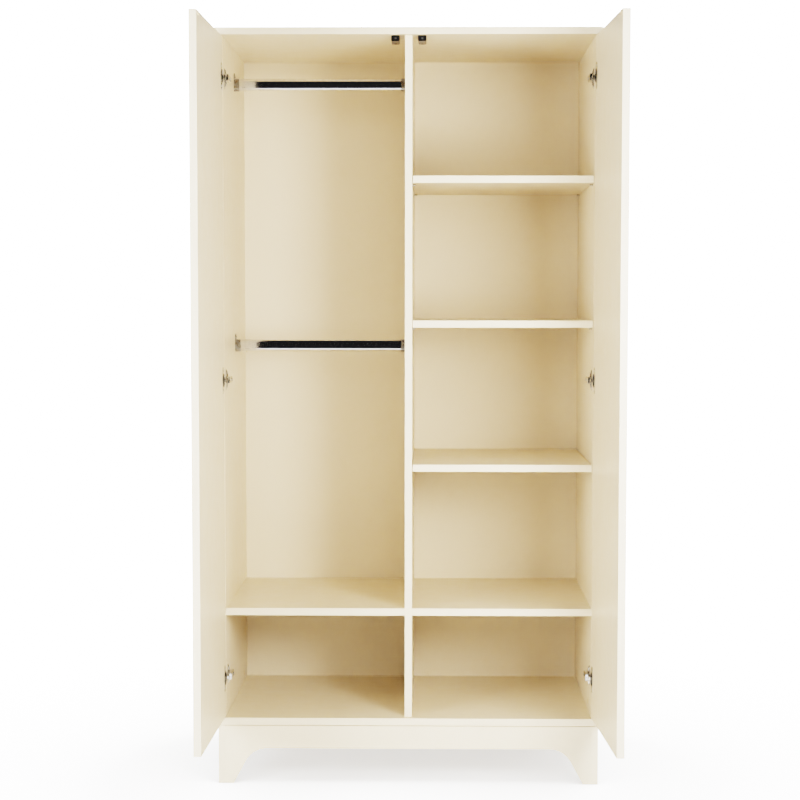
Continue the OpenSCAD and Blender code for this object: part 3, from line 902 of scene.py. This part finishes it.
mounting = Solid()
for side in SIDES:
    joint = JOINTS[f"{side}_door_hinge"]
    axis_x, axis_y, _ = (c / MM for c in joint["pos_m"])
    open_turn = rotation(joint["range_deg"][0], "Z")
    mirror = mirrored(x=1 if side == "left" else -1)
    on_door = f"{side}_door"
    pivots, flange_screws = Solid(), Solid()
    for level in LEVELS:
        name = f"{side}_{level}_hinge"
        low, high = box_mm(f"{name}_cup")
        axis = place((axis_x, axis_y, (low.z + high.z) / 2)) @ mirror
        door = axis @ open_turn
        piece(f"{name}_bowl", cup_solid.at(door), on_door, "hinge_nickel", [f"{name}_cup"])
        piece(f"{name}_damper", damper_solid.at(door), on_door, "latch_black")
        piece(f"{name}_link", arm_solid.at(axis), "carcass", "hinge_nickel", [f"{name}_arm"])
        piece(f"{name}_base", plate_solid.at(axis), "carcass", "hinge_nickel", [f"{name}_plate"])
        pivots += pivot_solid.at(door)
        for z in (-EAR_Z, EAR_Z):
            seat = place((CUP_X + EAR_X, DOOR_FACE_Y + CUP_SCREW_SINK, z))
            flange_screws += cup_screw.at(door @ seat @ TO_Y)
        for x, y, z, fixing in (
            (WALL_X + WOOD_SCREW_SEAT, PLATE_Y, -PLATE_SCREW_Z, wood_screw),
            (WALL_X + WOOD_SCREW_SEAT, PLATE_Y, PLATE_SCREW_Z, wood_screw),
            (ARM_HIGH, ARM_SCREW_Y, 0, arm_screw),
            (ARM_HIGH - 1.0, ADJUST_SCREW_Y, 0, adjust_screw),
        ):
            mounting += fixing.at(axis @ place((x, y, z)) @ TO_X)
    piece(f"{side}_hinge_axles", pivots, on_door, "pin_nickel", [f"{side}_hinge_pins"])
    piece(f"{side}_flange_screws", flange_screws, on_door, "screw_steel", [f"{side}_cup_screws"])

    strike = f"{side}_strike_plate"
    low, high = islands(strike)[0]
    rod_low, rod_high = box_mm(f"{side}_latch_plunger")
    latch_x = abs((rod_low.x + rod_high.x) / 2)
    door = place((axis_x, axis_y, (low.z + high.z) / 2)) @ mirror @ open_turn
    stand = door @ place((abs(axis_x) - latch_x, DOOR_FACE_Y, 0)) @ TO_Y
    pressing = strike_solid.at(stand)
    piece(f"{side}_strike_pressing", pressing, on_door, NODE_SLOTS[strike], [strike])

piece("hinge_fixing_screws", mounting, "carcass", "screw_steel", ["hinge_mounting_screws"])


# ---- floor, world, lights, camera ----

FLOOR_HALF = 14.0
floor_mesh = bpy.data.meshes.new("floor")
floor_mesh.from_pydata(rectangle(FLOOR_HALF, FLOOR_HALF, 0), [], [(0, 1, 2, 3)])
floor = bpy.data.objects.new("floor", floor_mesh)
COLLECTION.objects.link(floor)
floor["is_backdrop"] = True

# The paper that the camera sees: a white glow with soft painted shade, dimmed where the wardrobe hides the room
# from it, straight up and towards the key light. Further off it brightens into the backdrop.
PAPER_WHITE = (0.90, 0.90, 0.90, 1.0)
SHADE_REACH, SHADE_SAMPLES = 0.6, 16
TO_ROOM = (0.50, -0.62, 0.60)
SHADE_FULL, SHADE_NONE = 0.15, 0.78
GLOW_IN_SHADE, GLOW_OPEN, GLOW_FAR = 0.6, 4.0, 18.0
FAR_START, FAR_END = 0.75, 2.6

paper = Shader("floor_paper", Base_Color=PAPER_WHITE, Roughness=0.85, Specular_IOR_Level=0.1)
nodes = paper.tree.nodes


def openness(toward):
    """How much of the room the floor sees around one direction."""
    node = nodes.new("ShaderNodeAmbientOcclusion")
    node.samples = SHADE_SAMPLES
    node.inputs["Distance"].default_value = SHADE_REACH
    aim = nodes.new("ShaderNodeCombineXYZ")
    for socket, value in zip(aim.inputs, Vector(toward).normalized()):
        socket.default_value = value
    paper.link(aim.outputs[0], node.inputs["Normal"])
    return node.outputs["AO"]


# Painted shade: ambient occlusion dims the floor's glow, it is not a shadow cast by the lights
painted_shade = paper.math("MULTIPLY", openness(Z), openness(TO_ROOM))
distance = nodes.new("ShaderNodeVectorMath")
distance.operation = "LENGTH"
paper.link(paper.coords, distance.inputs[0])
near = paper.ranged(painted_shade, SHADE_FULL, SHADE_NONE, GLOW_IN_SHADE, GLOW_OPEN)
far = paper.ranged(distance.outputs["Value"], FAR_START, FAR_END, 0.0, GLOW_FAR)
glow = nodes.new("ShaderNodeEmission")
paper.link(paper.math("ADD", near, far), glow.inputs["Strength"])
lit = nodes.new("ShaderNodeBsdfDiffuse")
lit.inputs["Color"].default_value = PAPER_WHITE
bright = nodes.new("ShaderNodeAddShader")
paper.link(glow.outputs[0], bright.inputs[0])
paper.link(lit.outputs[0], bright.inputs[1])
by_ray = nodes.new("ShaderNodeMixShader")
paper.link(nodes.new("ShaderNodeLightPath").outputs["Is Camera Ray"], by_ray.inputs[0])
paper.link(paper.principled.outputs[0], by_ray.inputs[1])
paper.link(bright.outputs[0], by_ray.inputs[2])
paper.link(by_ray.outputs[0], paper.found("OUTPUT_MATERIAL").inputs["Surface"])
floor_mesh.materials.append(paper.material)

# The room is brightest in front, less so behind, above and at the sides: axis, sign, strength
SKY = (("Y", -1.0, 0.94), ("Y", 1.0, 0.80), ("Z", 1.0, 0.25), ("X", 1.0, 0.10), ("X", -1.0, 0.10))
# What metal mirrors, and what the camera sees behind everything
ROOM_DARK, BACKDROP = 0.03, 22.0

world = bpy.data.worlds.new("studio")
bpy.context.scene.world = world
world.use_nodes = True
tree = world.node_tree
tree.nodes.clear()
split = tree.nodes.new("ShaderNodeSeparateXYZ")
tree.links.new(tree.nodes.new("ShaderNodeTexCoord").outputs["Generated"], split.inputs[0])


def background():
    node = tree.nodes.new("ShaderNodeBackground")
    node.inputs["Color"].default_value = (1.0, 1.0, 1.0, 1.0)
    return node


def plain(strength):
    node = background()
    node.inputs["Strength"].default_value = strength
    return node.outputs[0]


def either(fac, no, yes):
    node = tree.nodes.new("ShaderNodeMixShader")
    for socket, value in zip(node.inputs, (fac, no, yes)):
        tree.links.new(value, socket)
    return node.outputs[0]


sky = 0.0
for axis, sign, strength in SKY:
    toward = math_node(tree, "MULTIPLY", split.outputs[axis], sign)
    facing_it = math_node(tree, "MAXIMUM", toward, 0.0)
    squared = math_node(tree, "POWER", facing_it, 2.0)
    sky = math_node(tree, "ADD", math_node(tree, "MULTIPLY", squared, strength), sky)
room = background()
tree.links.new(sky, room.inputs["Strength"])
rays = tree.nodes.new("ShaderNodeLightPath").outputs
lighting = either(rays["Is Glossy Ray"], room.outputs[0], plain(ROOM_DARK))
seen = either(rays["Is Camera Ray"], lighting, plain(BACKDROP))
tree.links.new(seen, tree.nodes.new("ShaderNodeOutputWorld").inputs["Surface"])

TARGET = Vector((0.0, 0.0, 1.05))


def softbox(name, at, width, height, power):
    """An area light aimed at the wardrobe. It isn't in the picture and no metal mirrors it."""
    data = bpy.data.lights.new(name, "AREA")
    data.shape = "RECTANGLE"
    data.size, data.size_y = width, height
    data.energy = power
    obj = bpy.data.objects.new(name, data)
    COLLECTION.objects.link(obj)
    obj.location = at
    obj.rotation_euler = (TARGET - Vector(at)).to_track_quat("-Z", "Y").to_euler()
    obj.visible_camera = False
    obj.visible_glossy = False


softbox("key", (0.90, -1.95, 1.15), 0.5, 0.6, power=38.3)
softbox("key_top", (0.90, -1.95, 1.75), 0.5, 0.6, power=3.3)
softbox("left", (-1.75, -2.10, 1.10), 0.8, 1.2, power=46.4)
softbox("front_high", (0.20, -5.00, 2.30), 2.0, 1.2, power=30.6)
softbox("front_low", (0.20, -4.00, 0.60), 2.0, 0.8, power=8.6)
# These reach only the top, the outer sides and the back
softbox("overhead", (0.00, 1.20, 4.40), 2.0, 2.0, power=60.0)
softbox("rear_left", (-3.00, 2.50, 1.60), 1.2, 1.6, power=40.0)
softbox("rear_right", (3.00, 2.50, 1.60), 1.2, 1.6, power=70.0)

# The camera stands a little right of the middle, looks slightly down, and its shift frames the
# doors' feet. Angles are in degrees.
CAMERA_AT = (0.0640, -5.1331, 1.2011)
CAMERA_YAW, CAMERA_PITCH, CAMERA_ROLL = -0.958, -4.295, 0.033
CAMERA_SENSOR, CAMERA_LENS, CAMERA_SHIFT = 36.0, 92.22, 0.0716

camera_data = bpy.data.cameras.new("camera")
camera_data.sensor_width = CAMERA_SENSOR
camera_data.lens = CAMERA_LENS
camera_data.shift_y = CAMERA_SHIFT
camera_data.clip_start, camera_data.clip_end = 0.05, 60.0
camera = bpy.data.objects.new("camera", camera_data)
COLLECTION.objects.link(camera)
camera.location = CAMERA_AT
yaw, pitch = math.radians(CAMERA_YAW), math.radians(CAMERA_PITCH)
forward = Vector(
    (math.sin(yaw) * math.cos(pitch), math.cos(yaw) * math.cos(pitch), math.sin(pitch))
)
roll = Matrix.Rotation(math.radians(CAMERA_ROLL), 3, "Z")
camera.rotation_euler = (forward.to_track_quat("-Z", "Y").to_matrix() @ roll).to_euler()
bpy.context.scene.camera = camera

bpy.context.scene.view_settings.view_transform = "Filmic"
bpy.context.scene.view_settings.look = "Very High Contrast"

low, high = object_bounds()
